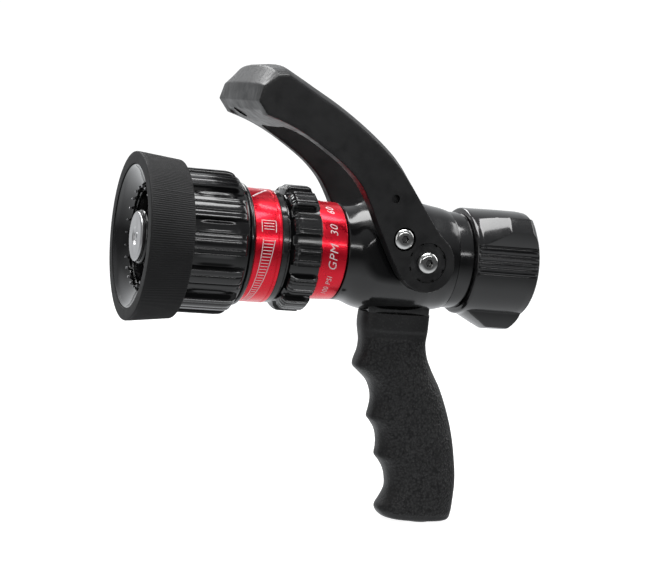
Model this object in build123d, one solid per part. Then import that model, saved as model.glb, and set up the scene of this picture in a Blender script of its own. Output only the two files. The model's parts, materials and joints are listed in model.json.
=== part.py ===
from build123d import *
import math
import os

# Pistol grip fire hose nozzle for a 38 mm (1 1/2 in) hose line.
# Millimetres. The stream axis is X: the hose is at +X and the water leaves at -X.
# +Z is up, and the origin is the centre of the coupling's mouth.

# ---- driving dimensions -------------------------------------------------------------
CLEAR = 0.3                 # gap between curved faces that move past each other
FIT = 0.1                   # radial gap of a part seated in its neighbour
BORE_R = 17.5               # waterway

PIVOT_X = -76.5             # handle and ball centre
BALL_R = 26.0
BALL_BORE_R = 16.5
BALL_FLAT_Y = 24.4          # flats at the ball's two drive slots
BALL_REST = 84.0            # degrees between the shut ball's bore and the stream axis
SEAT_R = 23.9
SEAT_FRONT_X = -104.0
SEAT_REAR_X = -49.0
CHAMBER_R = 27.0
CHAMBER_X = -96.0
SEAT_RING_R = 21.5          # O-rings in the seats' backs
SEAT_RING_HALF = 1.0

BODY_FRONT_X = -121.0
BODY_REAR_X = -51.3
SIDE_Y = 30.4               # flats that the handle's arms sweep past
BOSS_R = 17.0               # round boss under each hub of the handle
PAD_Z = -34.0               # flat under the body, where the grip is bolted
PAD = (-98.0, -58.0, 13.0)  # first x, last x and half width of that flat
SET_SCREW_X = -113.5
SET_SCREW_ANGLE = 40

COLLAR_R = 29.0
COLLAR_REAR_X = -42.0
NOSE_R = 25.5
NOSE_REAR_X = -22.0
RACE_X = -31.5
RACE_BALLS = 28
RACE_BALL_R = 1.5
RACE_R = NOSE_R + 0.2

COUPLING_FRONT_X = -41.2
COUPLING_R = 32.3
THREAD_R = 25.3
THREAD_L = 18.0
ROCKER_R = 40.0
ROCKER_ANGLES = (40, 160, 280)     # from the near side up
FLUTE_ANGLES = (5, 12, 19, 26)     # four scallops for the fingers, beside one rocker
FLUTE_R = 2.4
FLUTE_DEPTH = 0.7
STRAINER_R = 26.0

JOURNAL_R = 25.0            # the selector ring turns on this
STEP_R = 30.7               # the sleeve slides on this
FRONT_R = 27.0              # the glide ring slides on this
LIP_X = -231.0
BEAD_X = (-163.0, -157.4)
ORING_X = (-198.0, -201.6)
DETENT_R = 28.6             # distance of the detent balls from the stream axis

BAND1_X = (-179.2, -163.1)
BAND1_R = 33.1
STOP_X = (-183.0, -179.4)
STOP_R = 35.8

RING_X = (-157.1, -139.2)
RING_R = 36.9
RING_VALLEY_R = 33.2
RING_LUGS = 12
BAND2_X = (-139.0, -121.8)
BAND2_R = 29.2
TRACK_X = (-151.4, -143.6)  # groove for the cam pins
PIN_X = -146.0

SLEEVE_X = (-229.0, -183.3)
SLEEVE_R = 41.5
SLEEVE_VALLEY_R = 37.5
SLEEVE_CORE_R = 38.0
SLEEVE_LUGS = 12
GLIDE_X = (-214.6, -206.4)
GLIDE_R = 33.0

BUMPER_X = (-244.0, -218.0)
BUMPER_R = 48.5
BELL_R = 41.2
BELL_X = (-243.3, -229.0)
TOOTH_RING_X = (-235.2, -229.4)
TEETH = 24
TOOTH_TIP = (-239.6, 28.2)

STEM_R = 5.0
BAFFLE_FACE_X = -241.0
BAFFLE_R = 14.5

HANDLE_HALF = 40.0
ARM_T = 9.0
HUB_R = 17.6
HUB_DISC_R = 11.6
SCREW2 = (-92.2, 12.6)      # X and Z of the second screw
ARM_HOLE = (-100.2, 35.3)
SCREW_SEAT_Y = 37.2
SCREW_HEAD_R = 6.5
SCREW_KEY_R = 2.4
UNDERCUT = ((-185.3, 78.76), (-175.3, 73.08))   # slanting face under the crossbar, X and Z
CROSSBAR_SCREW_Y = 17.0
CROSSBAR_SCREW_R = 4.4
CROSSBAR_KEY_R = 2.6
CROSSBAR_X = -165.0
EDGE = 2.2                  # chamfer of the handle's outer edges
GRIP_HALF = 14.0
GRIP_BOLT_X = -78.0
BOLT_R = 3.95
BOLT_HOLE_R = 4.0


# ---- helpers ------------------------------------------------------------------------
def lathe(points):
    """Solid of revolution about X from an outline of (x, radius) points."""
    corners = [p for i, p in enumerate(points) if p != points[i - 1]]
    face = make_face(Polyline(*corners, close=True))
    return revolve(face, Axis.X, 360)


def ring(x0, x1, r_in, r_out, edge=0.0):
    """Plain ring about X, with its outer corners chamfered by edge."""
    return lathe([(x0, r_in), (x0, r_out - edge), (x0 + edge, r_out), (x1 - edge, r_out),
                  (x1, r_out - edge), (x1, r_in)])


def along_x(x0, x1, radius, y=0.0, z=0.0):
    """Cylinder parallel to X."""
    plane = Plane(origin=(x0, y, z), x_dir=(0, 1, 0), z_dir=(1, 0, 0))
    return extrude(plane * Circle(radius), x1 - x0)


def along_y(x, z, y0, y1, radius):
    """Cylinder parallel to Y."""
    plane = Plane(origin=(x, y0, z), x_dir=(1, 0, 0), z_dir=(0, 1, 0))
    return extrude(plane * Circle(radius), y1 - y0)


def block(x, y, z):
    """Box between two limits along each axis."""
    size = [b - a for a, b in (x, y, z)]
    centre = [(a + b) / 2 for a, b in (x, y, z)]
    return Pos(*centre) * Box(*size)


def around_x(shape, angle):
    """Turn a shape about the stream axis."""
    return shape.rotate(Axis.X, angle)


def group(shapes):
    """Several separate solids in one node."""
    return Compound(children=list(shapes))


def both_sides(shape):
    """A shape and its mirror image across the middle plane."""
    return group([shape, mirror(shape, about=Plane.XZ)])


def torus_x(x, radius, section):
    """O-ring about X."""
    return Pos(x, 0, 0) * Rot(0, 90, 0) * Torus(radius, section)


def side_face(points):
    """Flat face in the XZ plane at y = 0."""
    return make_face(Polyline(*[(x, 0, z) for x, z in points], close=True))


def ball_space(radius):
    """Sphere about the ball's centre."""
    return Pos(PIVOT_X, 0, 0) * Rot(0, 0, 90) * Sphere(radius)


# ---- valve body ---------------------------------------------------------------------
STEM_BORE_R = 8.0


def valve_body():
    outline = [(BODY_FRONT_X, 0), (BODY_FRONT_X, 27.8), (-120.3, 28.5), (-117, 28.5), (-114, 29),
               (-111.5, 30), (-109, 31), (-106.4, 31.9), (-103, 32.7), (-98, 33.3), (-90, 33.5),
               (-75, 33.4), (-68, 32.6), (-62, 31.4), (-55, 30.8), (-52.3, 30.2), (BODY_REAR_X, 29.2),
               (BODY_REAR_X, 0)]
    body = lathe(outline)
    body += along_y(PIVOT_X, 0, -SIDE_Y, SIDE_Y, BOSS_R)
    body += block(PAD[:2], (-PAD[2], PAD[2]), (PAD_Z, -20))
    body &= block((-130, -40), (-SIDE_Y, SIDE_Y), (PAD_Z, 40))
    body -= along_x(BODY_FRONT_X - 1, CHAMBER_X + 1, SEAT_R + FIT)
    body -= along_x(CHAMBER_X, BODY_REAR_X + 1, CHAMBER_R)
    body -= along_y(PIVOT_X, 0, -50, 50, STEM_BORE_R)
    body -= Pos(GRIP_BOLT_X, 0, -32.2) * Cylinder(BOLT_HOLE_R, 8)
    return body - in_neck(Pos(0, 0, 26.5) * Cylinder(2.1, 7))


def in_neck(shape):
    """Lay a shape made along Z at the neck's set screw."""
    return Pos(SET_SCREW_X, 0, 0) * Rot(SET_SCREW_ANGLE, 0, 0) * shape


def neck_set_screw():
    return in_neck(Pos(0, 0, 26) * Cylinder(2.0, 3.8) - Pos(0, 0, 27.6) * hexagon(1.0, 1.6))


def hexagon(radius, depth):
    """Hexagonal prism along Z, centred."""
    return extrude(RegularPolygon(radius, 6), depth / 2, both=True)


def rear_adapter():
    outline = [(-60, SEAT_R + FIT), (-60, CHAMBER_R - FIT), (BODY_REAR_X, CHAMBER_R - FIT),
               (BODY_REAR_X, COLLAR_R - 0.8), (BODY_REAR_X + 0.8, COLLAR_R), (COLLAR_REAR_X - 0.8, COLLAR_R),
               (COLLAR_REAR_X, COLLAR_R - 0.8), (COLLAR_REAR_X, NOSE_R), (NOSE_REAR_X - 1, NOSE_R),
               (NOSE_REAR_X, NOSE_R - 1), (NOSE_REAR_X, BORE_R), (SEAT_REAR_X, BORE_R),
               (SEAT_REAR_X, SEAT_R + FIT)]
    return lathe(outline) - torus_x(RACE_X, RACE_R, RACE_BALL_R + 0.4)


def seat(x0, x1):
    """Soft seat ring with a ball-shaped face."""
    return ring(x0, x1, BALL_BORE_R, SEAT_R) - ball_space(BALL_R + CLEAR)


def seat_orings():
    """O-rings let into the flat backs of the two seats."""
    return group([torus_x(x, SEAT_RING_R, 0.9) for x in (SEAT_FRONT_X + 1, SEAT_REAR_X - 1)])


def seat_groove(x0, x1):
    return ring(x0, x1, SEAT_RING_R - SEAT_RING_HALF, SEAT_RING_R + SEAT_RING_HALF)


def front_seat():
    return seat(SEAT_FRONT_X, -93.0) - seat_groove(SEAT_FRONT_X - 1, SEAT_FRONT_X + 2)


def rear_seat():
    return seat(-60.0, SEAT_REAR_X) - seat_groove(SEAT_REAR_X - 2, SEAT_REAR_X + 1)


# ---- ball and handle ----------------------------------------------------------------
DRIVE_FLAT = 4.0
STEM_POST_R = 6.0


def ball():
    """Ball with a cross bore, shut at rest, and a drive slot on each side."""
    sphere = ball_space(BALL_R) & block((-110, -40), (-BALL_FLAT_Y, BALL_FLAT_Y), (-30, 30))
    bore = Pos(PIVOT_X, 0, 0) * Rot(0, 90, 0) * Cylinder(BALL_BORE_R, 2 * BALL_R + 2)
    sphere -= bore.rotate(Axis((PIVOT_X, 0, 0), (0, 1, 0)), BALL_REST)
    for side in (-1, 1):
        y = sorted((side * 21.9, side * 26))
        sphere -= block((PIVOT_X - DRIVE_FLAT - FIT, PIVOT_X + DRIVE_FLAT + FIT), y, (-30, 30))
    return sphere


def drive_stems():
    """Post through the body wall: a tongue in the ball's slot, a disc and a square end."""
    post = along_y(PIVOT_X, 0, 24.6, 38, STEM_POST_R)
    post += along_y(PIVOT_X, 0, 24.6, 26.6, 7.4)
    tongue = block((PIVOT_X - DRIVE_FLAT, PIVOT_X + DRIVE_FLAT), (22, 24.7), (-5.5, 5.5))
    post += tongue
    post -= along_y(PIVOT_X, 0, 28, 39, 3.0)
    return both_sides(post)


def stem_bushes():
    bush = along_y(PIVOT_X, 0, 27.0, 30.3, STEM_BORE_R - 0.02)
    return both_sides(bush - along_y(PIVOT_X, 0, 26, 31, STEM_POST_R + 0.08))


def bail_profile():
    """Side view of the handle: hub end, curved arm and eight-sided tip."""
    edge = [(-187.0, 96.5), (-178.2, 102.0), (-169.5, 101.6), (-152.5, 92.6), (-136.7, 84.2),
            (-120.4, 74.2), (-105.8, 63.3), (-97.4, 54.8), (-91.2, 46.0), (-85.5, 37.3),
            (-77.5, 27.9), (-66.0, 14.0), (-76.5, 0), (-93.6, 4.0), (-102.4, 9.0), (-109.0, 19.5),
            (-115.3, 30.6), (-122.5, 42.3), (-131.8, 50.6), (-143.0, 58.0), (-155.5, 65.5),
            (-168.0, 71.2), (-182.0, 74.8), (-189.0, 83.2)]
    return side_face(edge)


def bail_handle():
    handle = extrude(bail_profile(), HANDLE_HALF, dir=(0, 1, 0), both=True)
    handle = chamfer(outer_edges(handle), EDGE)
    hub = along_y(PIVOT_X, 0, -HANDLE_HALF, HANDLE_HALF, HUB_R)
    handle += chamfer(hub.edges().filter_by(GeomType.CIRCLE), EDGE)
    inner = HANDLE_HALF - ARM_T
    gap = block((CROSSBAR_X, -30), (-inner, inner), (-40, 120))
    handle -= fillet(gap.edges().filter_by(Axis.Z).sort_by(Axis.X)[:2], 12)
    handle -= along_y(PIVOT_X, 0, -50, 50, HUB_DISC_R + FIT)
    handle -= along_y(SCREW2[0], SCREW2[1], -50, 50, 3.1)
    for side in (-1, 1):
        y = sorted((side * SCREW_SEAT_Y, side * (HANDLE_HALF + 1)))
        handle -= along_y(*SCREW2, *y, SCREW_HEAD_R + 0.4)
        handle -= along_y(*ARM_HOLE, *y, 2.5)
    (x0, z0), (x1, z1) = UNDERCUT
    wedge = extrude(side_face([(x0, z0), (x1, z1), (x1, 68), (x0, 68)]), inner, dir=(0, 1, 0), both=True)
    return handle - wedge - in_undercut(-1, 7.5, Circle(CROSSBAR_SCREW_R + 0.2))


def in_undercut(start, end, section):
    """Section extruded square to the face under the crossbar, between two depths below it."""
    (x0, z0), (x1, z1) = UNDERCUT
    inwards = Vector(z0 - z1, 0, x1 - x0).normalized()
    middle = Vector((x0 + x1) / 2, CROSSBAR_SCREW_Y, (z0 + z1) / 2)
    plane = Plane(origin=middle + inwards * start, x_dir=(0, 1, 0), z_dir=inwards)
    return extrude(plane * section, end - start)


def outer_edges(shape):
    """Edges of the two flat side faces of a shape."""
    return ShapeList([e for f in shape.faces().filter_by(Axis.Y) for e in f.edges()])


def handle_hubs():
    """Splined disc that keys each arm to its drive stem."""
    disc = along_y(PIVOT_X, 0, HANDLE_HALF - ARM_T + 0.2, HANDLE_HALF - 0.9, HUB_DISC_R)
    for i in range(8):
        notch = block((PIVOT_X + HUB_DISC_R - 1.1, PIVOT_X + HUB_DISC_R + 1), (38.0, 41), (-1.1, 1.1))
        disc -= notch.rotate(Axis((PIVOT_X, 0, 0), (0, 1, 0)), 22.5 + 45 * i)
    disc -= along_y(PIVOT_X, 0, 30, 38.1, STEM_POST_R + 0.02)
    disc -= along_y(PIVOT_X, 0, 37, 41, 3.0)
    return both_sides(disc)


def button_screw(x, z, y_seat, head_h, shank_r, shank_l):
    """Button head screw along Y, with its head outside y_seat."""
    top = y_seat + head_h
    head = along_y(x, z, y_seat, top, SCREW_HEAD_R)
    rim = head.edges().filter_by(GeomType.CIRCLE).sort_by(Axis.Y)[-1]
    head = fillet(rim, head_h * 0.8)
    head += along_y(x, z, y_seat - shank_l, y_seat, shank_r)
    plane = Plane(origin=(x, top - 2.0, z), x_dir=(1, 0, 0), z_dir=(0, 1, 0))
    return head - extrude(plane * RegularPolygon(SCREW_KEY_R, 6), 3)


def pivot_screws():
    return both_sides(button_screw(PIVOT_X, 0, HANDLE_HALF - 0.9, 3.6, 2.95, 10.4))


def handle_screws():
    return both_sides(button_screw(*SCREW2, SCREW_SEAT_Y, 3.8, 3.0, 6.1))


def crossbar_screw():
    head = in_undercut(0.9, 7.1, Circle(CROSSBAR_SCREW_R))
    return head - in_undercut(0, 4, RegularPolygon(CROSSBAR_KEY_R, 6))


# ---- barrel, bands and selector -----------------------------------------------------
def front_barrel():
    outline = [(SEAT_FRONT_X, BORE_R), (SEAT_FRONT_X, SEAT_R), (BODY_FRONT_X, SEAT_R),
               (BODY_FRONT_X, JOURNAL_R), (BEAD_X[1], JOURNAL_R), (BEAD_X[1], 30.2),
               (-159, 30.2), (-159, 32.2), (-159.6, 32.6), (-162.4, 32.6), (BEAD_X[0], 32.2),
               (BEAD_X[0], 31.0), (STOP_X[0], 31.0), (STOP_X[0], STEP_R), (-204, STEP_R),
               (-204, FRONT_R), (-226.5, FRONT_R), (LIP_X, 21.5), (LIP_X, 18.8), (-222, BORE_R)]
    barrel = lathe(outline)
    for x in ORING_X:
        barrel -= ring(x - 1.3, x + 1.3, 28.6, 31.5)
    for side in (0, 180):
        slot = block((TRACK_X[0] + 0.3, TRACK_X[1] - 0.3), (-2.2, 2.2), (10, 40))
        barrel -= around_x(slot, side)
        barrel -= around_x(along_x(BEAD_X[0] + 1, BEAD_X[1] + 1, 1.7, z=DETENT_R), side + 90)
    return barrel


def barrel_orings():
    return group([torus_x(x, 29.5, 0.85) for x in ORING_X])


def pattern_band():
    band = ring(BAND1_X[0], BAND1_X[1] - 0.1, 31.05, BAND1_R, 0.3)
    return band - ring(-165.6, -165.2, BAND1_R - 0.35, BAND1_R + 1)


def stop_ring():
    return lathe([(STOP_X[0], 31.05), (STOP_X[0], STOP_R - 1.4), (STOP_X[0] + 0.8, STOP_R),
                  (STOP_X[1] - 1.4, STOP_R - 0.3), (STOP_X[1], STOP_R - 2.0), (STOP_X[1], 31.05)])


def lug_row(x0, x1, r_core, r_lug, count, width, first):
    """Straight lugs along X, evenly spaced around the stream axis."""
    lug = block((x0, x1), (-width / 2, width / 2), (r_core - 3, r_lug))
    lug = chamfer(lug.edges().filter_by(Axis.X).group_by(Axis.Z)[-1], 0.9)
    lug = chamfer(lug.edges().filter_by(Axis.Y).group_by(Axis.Z)[-1], 1.2)
    step = 360 / count
    return [around_x(lug, first + i * step) for i in range(count)]


def selector_ring():
    rear = [(BAND2_X[1], JOURNAL_R + CLEAR), (BAND2_X[1], 27.3), (RING_X[1], 27.3)]
    main = [(RING_X[1], 32.2), (RING_X[1] - 1.6, RING_VALLEY_R), (RING_X[0] + 1.6, RING_VALLEY_R),
            (RING_X[0], 32.2), (RING_X[0], JOURNAL_R + CLEAR)]
    body = lathe(rear + main)
    for lug in lug_row(RING_X[0], RING_X[1], RING_VALLEY_R, RING_R, RING_LUGS, 9.6, 93):
        body += lug
    body -= ring(TRACK_X[0], TRACK_X[1], 24, 28.4)
    body -= ring(RING_X[0] - 1, RING_X[0] + 1.0, 26.8, 30.4)
    return body


def flow_band():
    return lathe([(BAND2_X[0] - 0.1, 27.35), (BAND2_X[0] - 0.1, BAND2_R), (BAND2_X[1] - 0.5, 28.7),
                  (BAND2_X[1], 28.2), (BAND2_X[1], 27.35)])


def detent_balls():
    return group([around_x(Pos(BEAD_X[1] - 0.9, 0, DETENT_R) * Sphere(1.5), side) for side in (90, 270)])


def detent_springs():
    """Two short compression springs behind the detent balls, as plain sleeves of their size."""
    tube = along_x(BEAD_X[0] + 1.1, BEAD_X[1] - 2.5, 1.4, z=DETENT_R)
    tube -= along_x(BEAD_X[0], BEAD_X[1], 0.9, z=DETENT_R)
    return group([around_x(tube, side) for side in (90, 270)])


# ---- stem and baffle ----------------------------------------------------------------
SPIDER_X = (-152.0, -140.0)


def flow_stem():
    return along_x(BAFFLE_FACE_X + 2.6, SPIDER_X[1] + 3, STEM_R)


def stem_spider():
    """Guide for the stem: a hub, an outer ring and three vanes."""
    part = ring(*SPIDER_X, STEM_R + 0.02, 8.0, 1.0) + ring(*SPIDER_X, 15.6, BORE_R - 0.1)
    for i in range(3):
        part += around_x(block(SPIDER_X, (-1.3, 1.3), (7.5, 16.2)), 30 + 120 * i)
    for side in (0, 180):
        part -= around_x(Pos(PIN_X, 0, 16.5) * Cylinder(2.0, 4), side)
    return part


def cam_pins():
    pin = Pos(PIN_X, 0, 21.8) * Cylinder(1.95, 12.0)
    return group([around_x(pin, side) for side in (0, 180)])


def baffle_body():
    return lathe([(-218, STEM_R + 0.02), (-218, 6.2), (-226, 7.4), (-231, 10.5), (-235.5, 15.4),
                  (-237.2, 15.9), (BAFFLE_FACE_X + 2.6, 15.2), (BAFFLE_FACE_X + 2.6, STEM_R + 0.02)])


def baffle_cap():
    """Face disc with a round socket and a key slot."""
    cap = lathe([(BAFFLE_FACE_X + 2.5, 0), (BAFFLE_FACE_X + 2.5, 14.2), (BAFFLE_FACE_X + 1.4, BAFFLE_R),
                 (BAFFLE_FACE_X + 0.5, 14.2), (BAFFLE_FACE_X, 13.4), (BAFFLE_FACE_X, 0)])
    cap -= along_x(BAFFLE_FACE_X - 1, BAFFLE_FACE_X + 1.0, 3.6)
    return cap - block((BAFFLE_FACE_X - 1, BAFFLE_FACE_X + 0.6), (-1.2, 1.2), (-5.4, 5.4))


# ---- pattern sleeve -----------------------------------------------------------------
def glide_ring():
    return ring(*GLIDE_X, FRONT_R + CLEAR, GLIDE_R, 0.5)


def pattern_sleeve():
    outline = [(SLEEVE_X[0], FRONT_R + 0.4), (SLEEVE_X[0], SLEEVE_CORE_R), (-216, SLEEVE_CORE_R),
               (-216, SLEEVE_VALLEY_R), (-190, SLEEVE_VALLEY_R), (-185.5, 36.6),
               (SLEEVE_X[1], 35.4), (SLEEVE_X[1], STEP_R + CLEAR), (-205.6, STEP_R + CLEAR),
               (-205.6, GLIDE_R + CLEAR), (-215.4, GLIDE_R + CLEAR), (-215.4, FRONT_R + 0.4)]
    sleeve = lathe(outline)
    for lug in lug_row(-217.6, -185.0, SLEEVE_VALLEY_R, SLEEVE_R, SLEEVE_LUGS, 11.5, 87):
        sleeve += lug
    return sleeve


def shaper_bell():
    outline = [(BELL_X[1], 33.0), (BELL_X[1], BELL_R - 0.2), (BELL_X[0], BELL_R - 0.2),
               (BELL_X[0], 40.6), (-241.8, 39.2), (-236.2, 31.4), (-235.5, 31.4), (-235.5, 33.0)]
    return lathe(outline)


def bumper():
    outline = [(BUMPER_X[0], BELL_R), (BUMPER_X[0], 47.6), (-243.2, BUMPER_R), (-218.8, 45.6),
               (BUMPER_X[1], 44.8), (BUMPER_X[1], SLEEVE_CORE_R + 0.1),
               (-228.9, SLEEVE_CORE_R + 0.1), (-228.9, BELL_R)]
    return lathe(outline)


def fog_teeth():
    """Ring that spins in the bell's throat and carries pointed teeth."""
    part = ring(*TOOTH_RING_X, 28.4, 32.6, 0.3)
    tip_x, tip_r = TOOTH_TIP
    face = make_face(Polyline((-234.9, 0, 28.5), (-234.9, 0, 31.0), (tip_x, 0, tip_r + 0.7),
                              (tip_x, 0, tip_r), close=True))
    tooth = extrude(face, 0.7, dir=(0, 1, 0), both=True)
    for i in range(TEETH):
        part += around_x(tooth, i * 360 / TEETH)
    return part


# ---- coupling -----------------------------------------------------------------------
def swivel_coupling():
    inner = NOSE_R + 0.4
    outline = [(COUPLING_FRONT_X, inner), (COUPLING_FRONT_X, 31.2), (COUPLING_FRONT_X + 1, 32.1),
               (-8, COUPLING_R), (-2, 32.0), (-0.8, 31.6), (0, 30.8), (0, THREAD_R),
               (-THREAD_L, THREAD_R), (-THREAD_L, 26.3), (-22.2, 26.3), (-22.2, inner)]
    body = lathe(outline)
    flute = along_x(COUPLING_FRONT_X + 1.5, 1, FLUTE_R, z=COUPLING_R - FLUTE_DEPTH + FLUTE_R)
    for angle in FLUTE_ANGLES:
        body -= around_x(flute, 90 - angle)
    for angle in ROCKER_ANGLES:
        body += around_x(rocker(), 90 - angle)
    return body - torus_x(RACE_X, RACE_R, RACE_BALL_R + 0.05)


def rocker():
    """One rocker lug at the top: ramped at the front, steep at the mouth, with sloping flanks."""
    profile = side_face([(-37.5, 28), (-37.5, 32), (-22, ROCKER_R), (-8, ROCKER_R - 0.2),
                         (-2.5, 33.5), (-1.5, 28)])
    flanks = make_face(Polyline((-40, -13, 28), (-40, -13, 29.5), (-40, -6, ROCKER_R + 0.1),
                                (-40, 6, ROCKER_R + 0.1), (-40, 13, 29.5), (-40, 13, 28), close=True))
    return extrude(profile, 14, dir=(0, 1, 0), both=True) & extrude(flanks, 42, dir=(1, 0, 0))


def race_balls():
    ball_one = Pos(RACE_X, 0, RACE_R) * Sphere(RACE_BALL_R)
    return group([around_x(ball_one, i * 360 / RACE_BALLS) for i in range(RACE_BALLS)])


def hose_gasket():
    return ring(-21.9, -18.9, 19.0, 26.0, 0.4)


def inlet_strainer():
    """Perforated disc that keeps grit out of the valve."""
    disc = along_x(-18.8, -18.1, STRAINER_R)
    holes = []
    for row in range(-4, 5):
        for col in range(-5, 6):
            y = col * 4.6 + (row % 2) * 2.3
            z = row * 4.0
            if math.hypot(y, z) < 18.5:
                holes.append(along_x(-20, -17, 1.6, y, z))
    return disc - holes


# ---- grip ---------------------------------------------------------------------------
CAVITY_R = 9.0
GRIP_FOOT = (-50.0, -161.0)
GRIP_HEAD = (-77.0, -66.0)


def grip_axis():
    dx = GRIP_HEAD[0] - GRIP_FOOT[0]
    dz = GRIP_HEAD[1] - GRIP_FOOT[1]
    return dx, dz, math.hypot(dx, dz)


def slanted(start, length, radius):
    """Cylinder along the grip's leaning axis, start millimetres up from its foot."""
    dx, dz, full = grip_axis()
    origin = (GRIP_FOOT[0] + dx * start / full, 0, GRIP_FOOT[1] + dz * start / full)
    return extrude(Plane(origin=origin, x_dir=(0, 1, 0), z_dir=(dx, 0, dz)) * Circle(radius), length)


def pistol_grip():
    front = [(-98.8, -50), (-100.2, -66), (-90.5, -76.5), (-86.8, -87), (-88.0, -97.5), (-81.5, -106),
             (-80.6, -120), (-73.6, -130), (-72.5, -143), (-77.0, -154), (-66, -160.1)]
    rear = [(-30.5, -160.1), (-27.0, -155), (-27.2, -134), (-32.3, -107.6), (-43.8, -78.7),
            (-54.2, -60.3), (-56.0, -46)]
    outline = [(-100.4, PAD_Z)] + front + rear + [(-55.4, PAD_Z)]
    grip = extrude(side_face(outline), GRIP_HALF, dir=(0, 1, 0), both=True)
    sides = [f for f in grip.faces().filter_by(Axis.Y)]
    grip = chamfer(ShapeList([e for f in sides for e in f.edges() if e.center().Z < PAD_Z - 1]), 4.0)
    grip -= slanted(-10, grip_axis()[2] + 8, CAVITY_R)
    grip -= Pos(GRIP_BOLT_X, 0, -62) * Cylinder(7.5, 20)
    return grip - Pos(GRIP_BOLT_X, 0, -40) * Cylinder(4.2, 40)


def grip_plug():
    """Plug that closes the bolt cavity at the grip's foot."""
    plug = slanted(-2, 9, CAVITY_R - 0.05)
    return plug & block((-80, -20), (-20, 20), (-160.0, -140))


def grip_bolt():
    bolt = Pos(GRIP_BOLT_X, 0, -57.2) * Cylinder(6.3, 7)
    bolt += Pos(GRIP_BOLT_X, 0, -41.6) * Cylinder(BOLT_R, 26)
    return bolt - Pos(GRIP_BOLT_X, 0, -60) * hexagon(3.0, 6)


def grip_washer():
    return Pos(GRIP_BOLT_X, 0, -52.8) * (Cylinder(7.3, 1.6) - Cylinder(BOLT_HOLE_R + FIT, 4))


# ---- output -------------------------------------------------------------------------
PARTS = {
    "valve_body": valve_body,
    "rear_adapter": rear_adapter,
    "front_seat": front_seat,
    "rear_seat": rear_seat,
    "seat_orings": seat_orings,
    "stem_bushes": stem_bushes,
    "neck_set_screw": neck_set_screw,
    "front_barrel": front_barrel,
    "barrel_orings": barrel_orings,
    "pattern_band": pattern_band,
    "stop_ring": stop_ring,
    "detent_balls": detent_balls,
    "detent_springs": detent_springs,
    "pistol_grip": pistol_grip,
    "grip_plug": grip_plug,
    "grip_bolt": grip_bolt,
    "grip_washer": grip_washer,
    "bail_handle": bail_handle,
    "handle_hubs": handle_hubs,
    "pivot_screws": pivot_screws,
    "handle_screws": handle_screws,
    "crossbar_screw": crossbar_screw,
    "drive_stems": drive_stems,
    "ball": ball,
    "selector_ring": selector_ring,
    "flow_band": flow_band,
    "flow_stem": flow_stem,
    "stem_spider": stem_spider,
    "cam_pins": cam_pins,
    "baffle_body": baffle_body,
    "baffle_cap": baffle_cap,
    "glide_ring": glide_ring,
    "pattern_sleeve": pattern_sleeve,
    "shaper_bell": shaper_bell,
    "bumper": bumper,
    "fog_teeth": fog_teeth,
    "swivel_coupling": swivel_coupling,
    "race_balls": race_balls,
    "hose_gasket": hose_gasket,
    "inlet_strainer": inlet_strainer,
}

os.makedirs("parts", exist_ok=True)
for name, make in PARTS.items():
    export_step(make(), f"parts/{name}.step")
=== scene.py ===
import json
import math

import bmesh
import bpy
import numpy as np
from mathutils import Matrix, Quaternion, Vector


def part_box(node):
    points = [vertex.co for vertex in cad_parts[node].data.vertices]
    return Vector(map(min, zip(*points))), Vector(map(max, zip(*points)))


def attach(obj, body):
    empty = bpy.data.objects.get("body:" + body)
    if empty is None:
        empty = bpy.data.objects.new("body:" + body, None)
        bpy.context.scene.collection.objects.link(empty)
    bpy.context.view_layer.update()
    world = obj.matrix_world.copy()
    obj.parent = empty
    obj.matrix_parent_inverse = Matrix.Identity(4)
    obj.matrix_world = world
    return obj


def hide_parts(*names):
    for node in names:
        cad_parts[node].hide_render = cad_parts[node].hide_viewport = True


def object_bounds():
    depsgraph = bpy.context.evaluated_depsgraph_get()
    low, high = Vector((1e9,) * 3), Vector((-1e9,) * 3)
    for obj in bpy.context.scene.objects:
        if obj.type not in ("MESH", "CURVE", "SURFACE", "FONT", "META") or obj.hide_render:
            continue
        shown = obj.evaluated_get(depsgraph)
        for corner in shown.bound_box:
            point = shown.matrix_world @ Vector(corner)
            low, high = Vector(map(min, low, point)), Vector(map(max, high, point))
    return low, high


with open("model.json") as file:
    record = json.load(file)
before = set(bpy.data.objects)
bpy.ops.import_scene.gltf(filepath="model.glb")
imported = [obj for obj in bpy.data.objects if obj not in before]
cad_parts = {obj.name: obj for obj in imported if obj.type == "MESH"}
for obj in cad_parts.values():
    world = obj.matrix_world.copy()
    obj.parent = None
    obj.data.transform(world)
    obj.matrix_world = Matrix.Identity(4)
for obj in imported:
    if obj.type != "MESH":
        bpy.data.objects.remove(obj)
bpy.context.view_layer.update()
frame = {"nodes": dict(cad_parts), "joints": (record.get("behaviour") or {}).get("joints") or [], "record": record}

# Lengths below are millimetres unless a name says otherwise, and become metres in make_mesh.
# Angles around the stream axis (X) are degrees from the near side (-Y) up towards +Z.
MM = 0.001
ROOT, HANDLE, SELECTOR = "valve_body_group", "bail_handle_group", "selector_group"
STEM, SLEEVE, TEETH, SWIVEL = "stem_group", "sleeve_group", "teeth_group", "swivel_group"
PIVOT_X = next(j["pos_m"][0] for j in frame["joints"] if j["name"] == "bail_turn") / MM


def span(node):
    """A CAD node's first x, last x and largest radius, in millimetres."""
    low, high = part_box(node)
    return low.x / MM, high.x / MM, max(high.z, -low.z, high.y, -low.y) / MM


# ---- materials ----------------------------------------------------------------------
def new_material(name):
    material = bpy.data.materials.new(name)
    material.use_nodes = True
    nodes = material.node_tree.nodes
    return material, nodes, material.node_tree.links, nodes["Principled BSDF"]


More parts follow.
